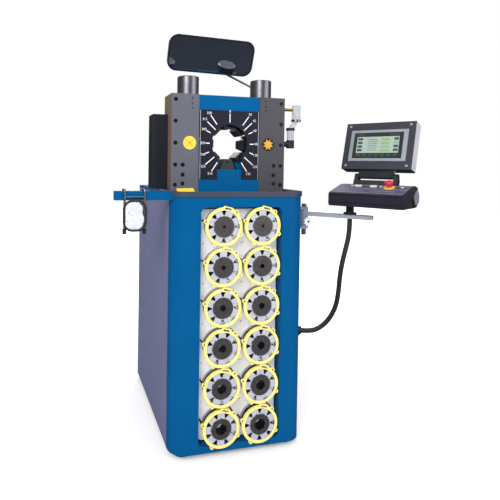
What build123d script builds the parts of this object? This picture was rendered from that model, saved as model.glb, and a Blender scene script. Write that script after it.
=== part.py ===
"""Hose crimping machine: floor cabinet with a die rack, a two-yoke crimping head and a swivelling control panel.

Millimetres. X runs to the right as the operator faces the machine, Y towards its back, Z up.
The origin is on the floor, under the middle of the cabinet.

The lower yoke is fixed and the upper one is pulled down by two pistons. The top and bottom master dies are
fixed to their yokes, the diagonal ones slide on faces inclined at 22.5 degrees and the side ones on faces
inclined at 45 degrees, so all eight tips stay on one circle while the yokes close.
"""

from math import atan2, cos, radians, sin, tan
import os

from build123d import *

os.makedirs("parts", exist_ok=True)

# ---------------------------------------------------------------- driving dimensions
SEAT = 0.3                      # gap between a part and the face it slides along

CAB_W = 500.0                   # cabinet over the side panels
SIDE = CAB_W / 2
CAB_D = 710.0
CAB_TOP = 917.0                 # top edge of the shell and side panels
FOOT_H = 20.0
FOOT_R = 30.0
SHEET = 2.0
CORNER_R = 62.0                 # front corners in plan
WRAP = 12.0                     # flat stretch of the front shell behind each corner
POST = 30.0
BASE_H = 40.0
OPENING = (152.0, 45.0, 880.0)  # half width, lower edge and upper edge of the rack opening
OPENING_R = 20.0
RECESS_D = 38.0
RACK_HALF_W = 147.0
RACK_Z = (50.0, 872.0)
RACK_T = 3.0

SET_X = 72.5                    # die set columns
SET_Z0 = 106.0                  # lowest row
SET_PITCH = 141.7
ROWS = 6
RING_R = 67.5
RING_W = 10.5
RING_T = 9.0
DIE_LEN = 48.0
PAD_R = 56.6                    # back of the die pads, just inside the ring
JAW_R = 37.0                    # where jaw and pad meet
JAW_GAP = 1.2
PAD_HALF_W = 13.0
PAD_STEP = 3.0
LUG_R = 7.0
LUG_HOLE_R = 3.4
LUG_AT = 68.5
LUG_ANGLES = (164.0, 47.0, -25.0, 241.0)
PEG_R = 3.1
HANDLE_ANGLE = 76.0
BORES = (19.5, 16.5, 13.5, 10.5, 7.5, 4.5)      # crimping bore of each row, lowest first

TRAY_H = 19.0
TRAY_T = 2.0
TRAY_OVER = 4.0
TRAY_DEPTH = 330.0

AXIS_Z = 1110.0                 # crimping axis
HEAD_FACE = -210.0
HEAD_DEPTH = 124.0
HEAD_TOP = 1292.0
HEAD_HALF_W = 227.5
INNER = 121.0                   # half the clear width between the side frames
POCKET_X = 170.0                # depth of the pockets for the yoke ears
PLATE = 25.0                    # frame material in front of and behind the pockets
POCKET_TOP = 1262.0
CAVITY = 98.0                   # axis to the flat over the top die
SLIDE = 80.0                    # axis to the inclined sliding faces
SPLIT = 21.0                    # axis to the ends of the yoke legs, open
DIE_OPEN = 58.0                 # axis to the master die tips, open
TRAVEL = 20.0                   # radial travel of a master die
TIP_HALF_W = 15.2
MASTER_Y = (-190.0, -118.0)
EAR_TOP = 145.0
STEM_HALF_W = 48.0
LOWER_BOSS_TOP = 972.5
UPPER_BOSS_FOOT = 1225.0
DIAL_T = 3.0
DIAL_HALF_W = 118.0
DIAL_Z = (973.0, 1235.0)
DIAL_HOLE = 71.0
CYL_X = 150.0
CYL_R = 41.5
CYL_BORE = 30.0
CYL_H = 72.0
CYL_CAP = 8.0
PISTON_T = 16.0
ROD_R = 17.0
RUN_FIT = 0.1                   # radial running clearance of rods and pistons
OUTER_SCREWS = (1270.0, 1190.0, 1109.0, 1028.0, 953.0)
INNER_SCREWS = (1028.0, 991.0, 958.0)
SCREW_X = (212.0, 183.0)        # outer and inner rows of screws
SCREW_R = 6.5
BORE_R = 8.0
BORE_D = 8.0
BADGE_X = 158.0
BADGE_R = 25.0
PIN_DROPS = (16.0, 36.0, 51.0)  # small holes under the top of the side frames
PIN_R = 3.0
GUARD = (57.5, 60.0, 26.0, 74.0)        # width, ends behind the head's front and back, drop from its top
LUBE = (40.0, 30.0)             # lubricator bowl: out from the head's side and behind its front
LUBE_DROPS = (22.0, 40.0, 78.0, 86.0, 112.0, 122.0, 161.0, 193.0)      # its steps below the head's top
LUBE_LEAN = 24.0                # its upper vessel stands further out by this much

MIRROR_W = 384.0
MIRROR_H = 152.0
MIRROR_R = 42.0
MIRROR_D = 20.0
MIRROR_AT = (3.0, 40.0, 1496.0)
MIRROR_TILT = 20.0              # the glass faces down by this angle
MIRROR_ROLL = 1.5
MIRROR_ROD = 4.5
MIRROR_PIN = (44.0, -60.0, 36.0)    # tilting pin: along, up and behind the middle of the glass
PIN_HALF = 9.0                  # half its length
MIRROR_PIN_R = 8.0
MIRROR_POST_X = 215.0           # the upright part of the rod
MIRROR_DROP = 72.0              # from the ball down to the rod's bend

BAR = 31.0
BAR_TOP = 936.0
BAR_Y = -322.0
BAR_X = (-SIDE - 197.0, -SIDE)
HOOKS = (-SIDE - 163.0, -SIDE - 95.0)
WIRE = 4.0
HOOK_FOOT = 792.0

PIVOT = (SIDE + 36.0, -268.0)
PIVOT_R = 9.0
LUG = (16.0, 10.0)              # radius and thickness of the pivot lugs
BOSS_Z = (800.0, 862.0)         # height of the arm's boss between the lugs
KNOB_Z = 819.0
KNOB_R = 21.0
ARM_ANGLE = -48.3
ARM_LEN = 252.0
ARM_W = 40.0
ARM_T = 14.0
ARM_Z = 840.0                   # underside of the arm
SWIVEL_AT = 173.0               # pivot to the panel's swivel
SWIVEL_R = 8.0
PANEL_ANGLE = -57.7             # direction of the panel's long side
PANEL_FOOT = (SIDE + 70.0, -388.0, 888.0)     # its lower front corner on the left
PANEL_W = 256.0
PANEL_SECTION = [(0, 0), (130, 0), (140, 10), (140, 66), (132, 76), (98, 76), (6, 50), (0, 46)]
HINGE = (122.0, 106.0)          # screen hinge: behind and above the panel's lower front edge
HINGE_R = 10.0
HINGE_PIN_R = 4.0
HINGE_X = (45.0, 200.0)
LUG_W = 14.0
SCREEN_AT = (-3.0, 100.0, 133.0)        # lower left corner of the screen's front, from the panel's
SCREEN_W = 252.0
SCREEN_H = 178.0
SCREEN_D = 46.0
SCREEN_TILT = 16.3
HMI = (207.0, 120.0)
GLASS = (178.0, 98.0)
STOP_R = 16.0
BUTTON_R = 10.0

CONDUIT_R = 9.0
ROUTE = [
    (SIDE + 151.0, -397.0, 839.0),
    (SIDE + 151.0, -397.0, 786.0),
    (SIDE + 139.0, -394.0, 730.0),
    (SIDE + 128.0, -388.0, 674.0),
    (SIDE + 126.0, -378.0, 616.0),
    (SIDE + 132.0, -363.0, 560.0),
    (SIDE + 133.0, -346.0, 503.0),
    (SIDE + 120.0, -326.0, 452.0),
    (SIDE + 94.0, -307.0, 414.0),
    (SIDE + 58.0, -296.0, 398.0),
    (SIDE + 14.0, -292.0, 404.0),
]

# ---------------------------------------------------------------- derived places
FRONT = -CAB_D / 2
BACK = CAB_D / 2
RACK_Y = FRONT + RECESS_D - RACK_T
SET_Y = RACK_Y - SEAT - DIE_LEN
FLOOR_Z = CAB_TOP + TRAY_T
HEAD_BACK = HEAD_FACE + HEAD_DEPTH
POCKET_Y = (HEAD_FACE + PLATE, HEAD_BACK - PLATE)
HEAD_MID = (POCKET_Y[0] + POCKET_Y[1]) / 2


def box(x, y, z, radius=0.0):
    """A box between two limits on each axis; its upright edges are rounded if a radius is given."""
    with BuildPart() as solid:
        with BuildSketch(Plane.XY.offset(z[0])):
            with Locations(((x[0] + x[1]) / 2, (y[0] + y[1]) / 2)):
                if radius:
                    RectangleRounded(x[1] - x[0], y[1] - y[0], radius)
                else:
                    Rectangle(x[1] - x[0], y[1] - y[0])
        extrude(amount=z[1] - z[0])
    return solid.part


def front_plane(y):
    """Drawing plane facing the operator: x to the right, local y up; extrusion goes towards the back."""
    return Plane(origin=(0, y, 0), x_dir=(1, 0, 0), z_dir=(0, -1, 0))


def rod(start, end, radius):
    """A round bar between two points."""
    direction = Vector(*end) - Vector(*start)
    with BuildPart() as solid:
        with BuildSketch(Plane(origin=start, z_dir=direction)):
            Circle(radius)
        extrude(amount=direction.length)
    return solid.part


def ring(centre, outer, inner, depth, plane_dir=(0, 1, 0)):
    """A round washer from its near face along plane_dir."""
    with BuildPart() as solid:
        with BuildSketch(Plane(origin=centre, z_dir=plane_dir)):
            Circle(outer)
            if inner:
                Circle(inner, mode=Mode.SUBTRACT)
        extrude(amount=depth)
    return solid.part


def bounded(lines):
    """Corners of the convex figure whose edges have the given outward directions (degrees) and distances."""
    corners = []
    for (a, p), (b, q) in zip(lines, lines[1:] + lines[:1]):
        a, b = radians(a), radians(b)
        det = cos(a) * sin(b) - cos(b) * sin(a)
        corners.append(((p * sin(b) - q * sin(a)) / det, (q * cos(a) - p * cos(b)) / det))
    return corners


def save(shape, name):
    """Labels a finished sub-part and writes its STEP file."""
    part = shape.part if isinstance(shape, BuildPart) else shape
    part.label = name
    export_step(part, f"parts/{name}.step")


def swung(point, angle, along, across=0.0):
    """A plan point reached from another by going along a direction and to its left."""
    a = radians(angle)
    return (point[0] + along * cos(a) - across * sin(a), point[1] + along * sin(a) + across * cos(a))


# ---------------------------------------------------------------- cabinet
with BuildPart() as feet:
    with BuildSketch():
        with GridLocations(CAB_W - 110, CAB_D - 120, 2, 2):
            Circle(FOOT_R)
    extrude(amount=6)
    with BuildSketch(Plane.XY.offset(6)):
        with GridLocations(CAB_W - 110, CAB_D - 120, 2, 2):
            Circle(FOOT_R * 0.45)
    extrude(amount=FOOT_H - 6)

with BuildPart() as cabinet_base:
    with BuildSketch(Plane.XY.offset(FOOT_H)):
        Rectangle(CAB_W - 2 * SHEET, CAB_D - 2 * SHEET)
        with Locations((0, FRONT)):
            Rectangle(CAB_W, 2 * (CORNER_R + WRAP), mode=Mode.SUBTRACT)
    extrude(amount=BASE_H)
    with BuildSketch(Plane.XY.offset(FOOT_H)):
        with Locations((0, FRONT + 45 + 60)):
            Rectangle(CAB_W - 2 * CORNER_R, 120)
    extrude(amount=BASE_H - 6)

POST_TOP = CAB_TOP
with BuildPart() as cabinet_posts:
    with BuildSketch(Plane.XY.offset(FOOT_H + BASE_H)):
        with Locations((0, (FRONT + CORNER_R + WRAP + BACK - SHEET) / 2)):
            with GridLocations(
                CAB_W - 2 * SHEET - POST, BACK - SHEET - FRONT - CORNER_R - WRAP - POST, 2, 2
            ):
                Rectangle(POST, POST)
    extrude(amount=POST_TOP - FOOT_H - BASE_H)
save(Compound(children=[feet.part, cabinet_base.part, cabinet_posts.part]), "cabinet_frame")

with BuildPart() as front_shell:
    with BuildSketch(Plane.XY.offset(FOOT_H)):
        RectangleRounded(CAB_W, CAB_D, CORNER_R)
        RectangleRounded(CAB_W - 2 * SHEET, CAB_D - 2 * SHEET, CORNER_R - SHEET, mode=Mode.SUBTRACT)
        with Locations((0, FRONT + CORNER_R + WRAP + CAB_D)):
            Rectangle(2 * CAB_W, 2 * CAB_D, mode=Mode.SUBTRACT)
    extrude(amount=CAB_TOP - FOOT_H)
    with BuildSketch(front_plane(FRONT)):
        with Locations((0, (OPENING[1] + OPENING[2]) / 2)):
            RectangleRounded(2 * OPENING[0], OPENING[2] - OPENING[1], OPENING_R)
    extrude(amount=-10, mode=Mode.SUBTRACT)
save(front_shell, "front_shell")

with BuildPart() as side_panels:
    with BuildSketch(Plane.XY.offset(FOOT_H)):
        with Locations((0, (FRONT + CORNER_R + WRAP + BACK) / 2)):
            with GridLocations(CAB_W - SHEET, 0, 2, 1):
                Rectangle(SHEET, BACK - FRONT - CORNER_R - WRAP - 1)
    extrude(amount=CAB_TOP - FOOT_H)

with BuildPart() as rear_panel:
    with BuildSketch(front_plane(BACK - SHEET)):
        with Locations((0, (FOOT_H + CAB_TOP) / 2)):
            Rectangle(CAB_W - 2 * SHEET - 1, CAB_TOP - FOOT_H)
        with Locations((-150, 150)):
            Circle(12, mode=Mode.SUBTRACT)
        with Locations((0, 330), (0, 350), (0, 370), (0, 390), (0, 410), (0, 430)):
            SlotOverall(200, 8, mode=Mode.SUBTRACT)
    extrude(amount=-SHEET)
save(Compound(children=[side_panels.part, rear_panel.part]), "cabinet_cladding")

RECESS_Y = (FRONT + SHEET, FRONT + RECESS_D)
RECESS_T = 3.0
corner_r = OPENING_R + RECESS_T
recess = []
for sign in (-1, 1):
    wall_x = sorted((sign * OPENING[0], sign * (OPENING[0] + RECESS_T)))
    recess.append(box(wall_x, RECESS_Y, (OPENING[1] + OPENING_R, OPENING[2] - OPENING_R)))
for wall_z in ((OPENING[1] - RECESS_T, OPENING[1]), (OPENING[2], OPENING[2] + RECESS_T)):
    recess.append(box((OPENING_R - OPENING[0], OPENING[0] - OPENING_R), RECESS_Y, wall_z))
for sign in (-1, 1):
    for up, corner_z in ((-1, OPENING[1] + OPENING_R), (1, OPENING[2] - OPENING_R)):
        corner_x = sign * (OPENING[0] - OPENING_R)
        with BuildPart() as recess_corner:
            with BuildSketch(front_plane(RECESS_Y[0])):
                with Locations((corner_x, corner_z)):
                    Circle(corner_r)
                    Circle(OPENING_R, mode=Mode.SUBTRACT)
                with Locations((corner_x + sign * corner_r / 2, corner_z + up * corner_r / 2)):
                    Rectangle(corner_r, corner_r, mode=Mode.INTERSECT)
            extrude(amount=RECESS_Y[0] - RECESS_Y[1])
        recess.append(recess_corner.part)
with BuildPart() as recess_back:
    with BuildSketch(front_plane(RECESS_Y[1])):
        with Locations((0, (OPENING[1] + OPENING[2]) / 2)):
            RectangleRounded(
                2 * (OPENING[0] + RECESS_T), OPENING[2] - OPENING[1] + 2 * RECESS_T, corner_r
            )
    extrude(amount=-2)
recess.append(recess_back.part)
save(Compound(children=recess), "recess_box")

SETS = [(col, row) for row in range(ROWS) for col in (0, 1)]


def set_centre(col, row):
    """Axis of a stored die set, drawn facing the operator."""
    return ((-SET_X, SET_X)[col], SET_Z0 + row * SET_PITCH)


def around(centre, angle, radius):
    """A point at an angle and distance from a centre."""
    return (centre[0] + radius * cos(radians(angle)), centre[1] + radius * sin(radians(angle)))


with BuildPart() as rack_panel:
    with BuildSketch(front_plane(RACK_Y)):
        with Locations((0, (RACK_Z[0] + RACK_Z[1]) / 2)):
            RectangleRounded(2 * RACK_HALF_W, RACK_Z[1] - RACK_Z[0], OPENING_R)
        with Locations(*[(set_centre(c, r)[0] - 60, set_centre(c, r)[1] - 64) for c, r in SETS if r]):
            Circle(2.5, mode=Mode.SUBTRACT)
    extrude(amount=-RACK_T)
save(rack_panel, "rack_panel")

PEG_POINTS = [around(set_centre(c, r), a, LUG_AT) for c, r in SETS for a in LUG_ANGLES[:2]]
with BuildPart() as rack_pegs:
    with BuildSketch(front_plane(RACK_Y)):
        with Locations(*PEG_POINTS):
            Circle(PEG_R)
    extrude(amount=DIE_LEN - 2)
save(rack_pegs, "rack_pegs")

# ---------------------------------------------------------------- die sets
SET_NAMES = []
for number, (col, row) in enumerate(SETS, start=1):
    centre = set_centre(col, row)
    name = f"die_set_{number:02d}"
    with BuildPart() as holder:
        with BuildSketch(front_plane(SET_Y)):
            with Locations(centre):
                Circle(RING_R)
            with Locations(*[around(centre, a, LUG_AT) for a in LUG_ANGLES]):
                Circle(LUG_R)
            with Locations(Location(around(centre, HANDLE_ANGLE, RING_R - 2), HANDLE_ANGLE - 90)):
                RectangleRounded(36, 11, 5)
            with Locations(centre):
                Circle(RING_R - RING_W, mode=Mode.SUBTRACT)
            with Locations(*[around(centre, a, LUG_AT) for a in LUG_ANGLES]):
                Circle(LUG_HOLE_R, mode=Mode.SUBTRACT)
            with Locations(Location(around(centre, HANDLE_ANGLE, RING_R - 4), HANDLE_ANGLE - 90)):
                SlotOverall(27, 7, mode=Mode.SUBTRACT)
        extrude(amount=-RING_T)
    pieces = [holder.part]
    bore = BORES[row]
    for k in range(8):
        angle = 22.5 * (col + row) % 45 + 45 * k
        side = -JAW_GAP / 2
        jaw_lines = [(angle + 180, -bore), (angle + 292.5, side), (angle + 360, JAW_R), (angle + 427.5, side)]
        with BuildPart() as die:
            with BuildSketch(front_plane(SET_Y)):
                with Locations(centre):
                    Polygon(*bounded(jaw_lines), align=None)
                    Circle(bore, mode=Mode.SUBTRACT)
            extrude(amount=-DIE_LEN)
            with BuildSketch(front_plane(SET_Y + PAD_STEP)):
                with Locations(Location(around(centre, angle, (JAW_R + PAD_R) / 2 - 0.2), angle)):
                    Rectangle(PAD_R - JAW_R + 0.4, 2 * PAD_HALF_W)
            extrude(amount=-(DIE_LEN - 2 * PAD_STEP))
        pieces.append(die.part)
    save(Compound(children=pieces), name)
    SET_NAMES.append(name)

# ---------------------------------------------------------------- tray and top cover
TRAY_Y = (FRONT - TRAY_OVER, FRONT - TRAY_OVER + TRAY_DEPTH)
TRAY_X = (-SIDE - TRAY_OVER, SIDE + TRAY_OVER)
with BuildPart() as tray:
    with BuildSketch(Plane.XY.offset(CAB_TOP)):
        with Locations((0, (TRAY_Y[0] + TRAY_Y[1]) / 2)):
            RectangleRounded(TRAY_X[1] - TRAY_X[0], TRAY_DEPTH, CORNER_R + TRAY_OVER)
        with Locations((0, TRAY_Y[1] - 60)):
            Rectangle(TRAY_X[1] - TRAY_X[0], 120)
    extrude(amount=TRAY_H)
    with BuildSketch(Plane.XY.offset(FLOOR_Z)):
        with Locations((0, (TRAY_Y[0] + TRAY_Y[1]) / 2)):
            RectangleRounded(TRAY_X[1] - TRAY_X[0] - 6, TRAY_DEPTH - 6, CORNER_R + TRAY_OVER - 3)
        with Locations((0, TRAY_Y[1] - 60 - 3)):
            Rectangle(TRAY_X[1] - TRAY_X[0] - 6, 120)
    extrude(amount=TRAY_H, mode=Mode.SUBTRACT)
save(tray, "tray")

with BuildPart() as top_cover:
    with BuildSketch(Plane.XY.offset(CAB_TOP)):
        with Locations((0, (TRAY_Y[1] + BACK) / 2)):
            Rectangle(CAB_W, BACK - TRAY_Y[1])
    extrude(amount=12)
    fillet(top_cover.edges().group_by(Axis.Z)[-1].group_by(Axis.Y)[-1], 3)
save(top_cover, "top_cover")

# ---------------------------------------------------------------- crimping head
SCREW_POINTS = [(s * SCREW_X[0], z) for s in (-1, 1) for z in OUTER_SCREWS]
SCREW_POINTS += [(s * SCREW_X[1], z) for s in (-1, 1) for z in INNER_SCREWS]
PIN_POINTS = [(s * (CYL_X - 2), HEAD_TOP - drop) for s in (-1, 1) for drop in PIN_DROPS]
frames = []
for sign in (-1, 1):
    with BuildPart() as frame:
        add(box(sorted((sign * INNER, sign * HEAD_HALF_W)), (HEAD_FACE, HEAD_BACK), (FLOOR_Z, HEAD_TOP)))
        chamfer(frame.edges().filter_by(Axis.Z), 1.5)
        add(
            box(sorted((sign * INNER, sign * POCKET_X)), POCKET_Y, (FLOOR_Z - 1, POCKET_TOP)),
            mode=Mode.SUBTRACT,
        )
        with BuildSketch(Plane.XY.offset(HEAD_TOP)):
            with Locations((sign * CYL_X, HEAD_MID)):
                Circle(ROD_R + RUN_FIT)
        extrude(amount=-(HEAD_TOP - POCKET_TOP), mode=Mode.SUBTRACT)
        with BuildSketch(front_plane(HEAD_FACE)):
            with Locations(*[p for p in SCREW_POINTS if p[0] * sign > 0]):
                Circle(BORE_R)
        extrude(amount=-BORE_D, mode=Mode.SUBTRACT)
        with BuildSketch(front_plane(HEAD_FACE)):
            with Locations(*[p for p in PIN_POINTS if p[0] * sign > 0]):
                Circle(PIN_R)
        extrude(amount=-2 * PIN_R, mode=Mode.SUBTRACT)
    frames.append(frame.part)
save(Compound(children=frames), "side_frames")

with BuildPart() as head_screws:
    with BuildSketch(front_plane(HEAD_FACE + BORE_D)):
        with Locations(*SCREW_POINTS):
            Circle(SCREW_R)
    extrude(amount=BORE_D - 1)
    with BuildSketch(front_plane(HEAD_FACE + 1)):
        with Locations(*SCREW_POINTS):
            RegularPolygon(3.4, 6)
    extrude(amount=-4, mode=Mode.SUBTRACT)

with BuildPart() as head_badges:
    with BuildSketch(front_plane(HEAD_FACE)):
        with Locations((-BADGE_X, AXIS_Z), (BADGE_X, AXIS_Z)):
            Circle(BADGE_R)
    extrude(amount=1.5)
save(Compound(children=[head_screws.part, head_badges.part]), "head_screws")

A225 = radians(22.5)


def yoke_half(half_w, back_w, shoulder):
    """Right half of the upper yoke's outline about the crimping axis, from the leg's foot round to the middle."""
    leg = 2 ** 0.5 * SLIDE - SPLIT
    inner_r = SLIDE / cos(A225)
    outer_r = SLIDE / cos(radians(45))
    high_r = CAVITY / cos(A225)
    return [
        (leg, SPLIT),
        (half_w, SPLIT),
        (half_w, shoulder),
        (INNER - SEAT, shoulder),
        (INNER - SEAT, back_w),
        (0, back_w),
        (0, CAVITY),
        (high_r * sin(A225), CAVITY),
        (SLIDE * sin(A225), SLIDE * cos(A225)),
        (outer_r * cos(A225), outer_r * sin(A225)),
        (inner_r * cos(A225), inner_r * sin(A225)),
    ]


LOWER_FOOT = AXIS_Z - FLOOR_Z
lower_outline = [(u, -w) for u, w in yoke_half(POCKET_X, LOWER_FOOT, LOWER_FOOT - 20)]
upper_outline = yoke_half(POCKET_X - SEAT, HEAD_TOP - 1 - AXIS_Z, EAR_TOP)

with BuildPart() as lower_yoke:
    with BuildSketch(front_plane(POCKET_Y[0])):
        with Locations((0, AXIS_Z)):
            Polygon(*lower_outline, align=None)
            Polygon(*[(-u, w) for u, w in lower_outline], align=None)
    extrude(amount=-(POCKET_Y[1] - POCKET_Y[0]))
    add(box((-INNER, INNER), (HEAD_FACE + 0.5, POCKET_Y[0]), (FLOOR_Z, LOWER_BOSS_TOP)))
    add(
        box((-STEM_HALF_W, STEM_HALF_W), (HEAD_FACE + 0.5, POCKET_Y[0]), (LOWER_BOSS_TOP, AXIS_Z - CAVITY))
    )
save(lower_yoke, "lower_yoke")

with BuildPart() as upper_yoke:
    with BuildSketch(front_plane(POCKET_Y[0] + SEAT)):
        with Locations((0, AXIS_Z)):
            Polygon(*upper_outline, align=None)
            Polygon(*[(-u, w) for u, w in upper_outline], align=None)
    extrude(amount=-(POCKET_Y[1] - POCKET_Y[0] - 2 * SEAT))
    add(
        box(
            (-INNER + SEAT, INNER - SEAT),
            (HEAD_FACE + DIAL_T + 0.5, POCKET_Y[0] + SEAT),
            (UPPER_BOSS_FOOT, HEAD_TOP - 1),
        )
    )
save(upper_yoke, "upper_yoke")

PISTON_Z = HEAD_TOP + CYL_H - CYL_CAP - 2
with BuildPart() as piston_rods:
    with BuildSketch(Plane.XY.offset(AXIS_Z + EAR_TOP)):
        with Locations((-CYL_X, HEAD_MID), (CYL_X, HEAD_MID)):
            Circle(ROD_R)
    extrude(amount=PISTON_Z - AXIS_Z - EAR_TOP)
    with BuildSketch(Plane.XY.offset(PISTON_Z - PISTON_T)):
        with Locations((-CYL_X, HEAD_MID), (CYL_X, HEAD_MID)):
            Circle(CYL_BORE - RUN_FIT)
    extrude(amount=PISTON_T)
save(piston_rods, "piston_rods")

barrels = []
for sign in (-1, 1):
    with BuildPart() as barrel:
        with BuildSketch(Plane.XY.offset(HEAD_TOP)):
            with Locations((sign * CYL_X, HEAD_MID)):
                Circle(CYL_R)
        extrude(amount=CYL_H)
        chamfer(barrel.edges().filter_by(GeomType.CIRCLE).group_by(Axis.Z)[-1], 2)
        with BuildSketch(Plane.XY.offset(HEAD_TOP)):
            with Locations((sign * CYL_X, HEAD_MID)):
                Circle(CYL_BORE)
        extrude(amount=CYL_H - CYL_CAP, mode=Mode.SUBTRACT)
    barrels.append(barrel.part)
save(Compound(children=barrels), "hydraulic_cylinders")


def master_lines(angle):
    """Edges of a master die's section, open, about the crimping axis."""
    side = TIP_HALF_W * cos(A225) - DIE_OPEN * sin(A225)
    lines = [(angle + 180, -DIE_OPEN), (angle + 247.5, side)]
    if angle % 90 == 0 and angle % 180 == 90:
        lines.append((angle + 360, CAVITY))
    elif angle % 180 == 0:
        lines += [(angle + 315, SLIDE - 0.05), (angle + 360, 105.0), (angle + 405, SLIDE - 0.05)]
    else:
        up = 22.5 if angle % 180 == 45 else -22.5
        slide, flat = (angle + 360 + up, SLIDE - 0.05), (angle + 360 - 2 * up, 92.0)
        lines += [flat, slide] if up > 0 else [slide, flat]
    lines.append((angle + 472.5, side))
    return lines


MASTERS = (
    ("master_die_top", 90),
    ("master_die_bottom", 270),
    ("master_die_right", 0),
    ("master_die_left", 180),
    ("master_die_upper_right", 45),
    ("master_die_upper_left", 135),
    ("master_die_lower_left", 225),
    ("master_die_lower_right", 315),
)
for name, angle in MASTERS:
    with BuildPart() as master:
        with BuildSketch(front_plane(MASTER_Y[0])):
            with Locations((0, AXIS_Z)):
                Polygon(*bounded(master_lines(angle)), align=None)
        extrude(amount=-(MASTER_Y[1] - MASTER_Y[0]))
        with BuildSketch(front_plane(MASTER_Y[0])):
            with Locations(around((0, AXIS_Z), angle, DIE_OPEN + 11)):
                Circle(3.2)
        extrude(amount=-12, mode=Mode.SUBTRACT)
    save(master, name)

with BuildPart() as dial_plate:
    with BuildSketch(front_plane(HEAD_FACE)):
        with Locations((0, (DIAL_Z[0] + DIAL_Z[1]) / 2)):
            Rectangle(2 * DIAL_HALF_W, DIAL_Z[1] - DIAL_Z[0])
        with Locations((0, 1000), (0, 1210)):
            Rectangle(2 * INNER, 16)
        with Locations((0, AXIS_Z)):
            Circle(DIAL_HOLE, mode=Mode.SUBTRACT)
        with Locations((0, DIAL_Z[0] + 30)):
            Rectangle(2 * STEM_HALF_W + 2, 100, mode=Mode.SUBTRACT)
    extrude(amount=-DIAL_T)
save(dial_plate, "dial_plate")

# stroke sensor box and lubricator
save(
    box(
        (-HEAD_HALF_W - GUARD[0], -HEAD_HALF_W),
        (HEAD_FACE + GUARD[1], HEAD_BACK + GUARD[2]),
        (CAB_TOP + TRAY_H + SEAT, HEAD_TOP - GUARD[3]),
        3.0,
    ),
    "rear_guard",
)

LUBE_X = HEAD_HALF_W + LUBE[0]
LUBE_Y = HEAD_FACE + LUBE[1]
VESSEL_X = LUBE_X + LUBE_LEAN
lube_z = [HEAD_TOP - drop for drop in LUBE_DROPS]
with BuildPart() as lubricator:
    add(rod((HEAD_HALF_W, LUBE_Y, lube_z[1]), (VESSEL_X, LUBE_Y, lube_z[1]), 6.0))
    add(rod((HEAD_HALF_W, LUBE_Y, lube_z[1]), (HEAD_HALF_W + 8, LUBE_Y, lube_z[1]), 10.0))
    add(rod((VESSEL_X, LUBE_Y, lube_z[2]), (VESSEL_X, LUBE_Y, lube_z[0]), 17.0))
    add(rod((VESSEL_X, LUBE_Y, lube_z[3]), (VESSEL_X, LUBE_Y, lube_z[2]), 19.0))
    add(rod((VESSEL_X, LUBE_Y, lube_z[3] + 4), (LUBE_X, LUBE_Y, lube_z[5] + 4), 10.0))
    add(rod((LUBE_X, LUBE_Y, lube_z[5]), (LUBE_X, LUBE_Y, lube_z[4]), 17.0))
    add(rod((LUBE_X, LUBE_Y, lube_z[6]), (LUBE_X, LUBE_Y, lube_z[5]), 14.0))
    add(rod((LUBE_X, LUBE_Y, lube_z[7]), (LUBE_X, LUBE_Y, lube_z[6]), 15.5))
save(lubricator, "lubricator")

# ---------------------------------------------------------------- mirror
tilt = radians(MIRROR_TILT)
roll = radians(MIRROR_ROLL)
MIRROR_ALONG = Vector(cos(roll), 0, -sin(roll))
MIRROR_OUT = Vector(-sin(roll) * sin(tilt), -cos(tilt), -cos(roll) * sin(tilt))
mirror_plane = Plane(origin=MIRROR_AT, x_dir=MIRROR_ALONG, z_dir=MIRROR_OUT)
PIN_AT = mirror_plane.from_local_coords((MIRROR_PIN[0], MIRROR_PIN[1], -MIRROR_PIN[2]))
POST_Y = PIN_AT.Y
BEND_Z = PIN_AT.Z - MIRROR_DROP
COVER_Z = CAB_TOP + 12

with BuildPart() as mirror_housing:
    with BuildSketch(mirror_plane):
        RectangleRounded(MIRROR_W, MIRROR_H, MIRROR_R)
    extrude(amount=-MIRROR_D, taper=8)
    with BuildSketch(mirror_plane):
        RectangleRounded(MIRROR_W - 14, MIRROR_H - 14, MIRROR_R - 7)
    extrude(amount=-4, mode=Mode.SUBTRACT)
    with BuildSketch(mirror_plane.offset(-MIRROR_D + 1)):
        with Locations((MIRROR_PIN[0], MIRROR_PIN[1] + 4)):
            RectangleRounded(30, 32, 6)
    extrude(amount=-(MIRROR_PIN[2] - MIRROR_D + 13))
    add(
        rod(
            tuple(PIN_AT - MIRROR_ALONG * (PIN_HALF + SEAT)),
            tuple(PIN_AT + MIRROR_ALONG * (PIN_HALF + SEAT)),
            MIRROR_PIN_R + RUN_FIT,
        ),
        mode=Mode.SUBTRACT,
    )
    with BuildSketch(Plane(origin=PIN_AT, z_dir=(MIRROR_DROP * 2.35, 0, -MIRROR_DROP))):
        Circle(6)
    extrude(amount=60, taper=-10, mode=Mode.SUBTRACT)
save(mirror_housing, "mirror_housing")

with BuildPart() as mirror_glass:
    with BuildSketch(mirror_plane.offset(-4)):
        RectangleRounded(MIRROR_W - 16, MIRROR_H - 16, MIRROR_R - 8)
    extrude(amount=2.5)
save(mirror_glass, "mirror_glass")

with BuildPart() as mirror_stand:
    with BuildLine() as rod_path:
        FilletPolyline(
            (MIRROR_POST_X, POST_Y, COVER_Z + 10),
            (MIRROR_POST_X, POST_Y, BEND_Z),
            (PIN_AT.X, POST_Y, PIN_AT.Z),
            radius=25,
        )
    with BuildSketch(Plane(origin=(MIRROR_POST_X, POST_Y, COVER_Z + 10), z_dir=(0, 0, 1))):
        Circle(MIRROR_ROD)
    sweep(path=rod_path.line)
    add(rod(tuple(PIN_AT - MIRROR_ALONG * PIN_HALF), tuple(PIN_AT + MIRROR_ALONG * PIN_HALF), MIRROR_PIN_R))
    add(rod((MIRROR_POST_X, POST_Y, COVER_Z), (MIRROR_POST_X, POST_Y, COVER_Z + 10), 18))
save(mirror_stand, "mirror_stand")

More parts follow.
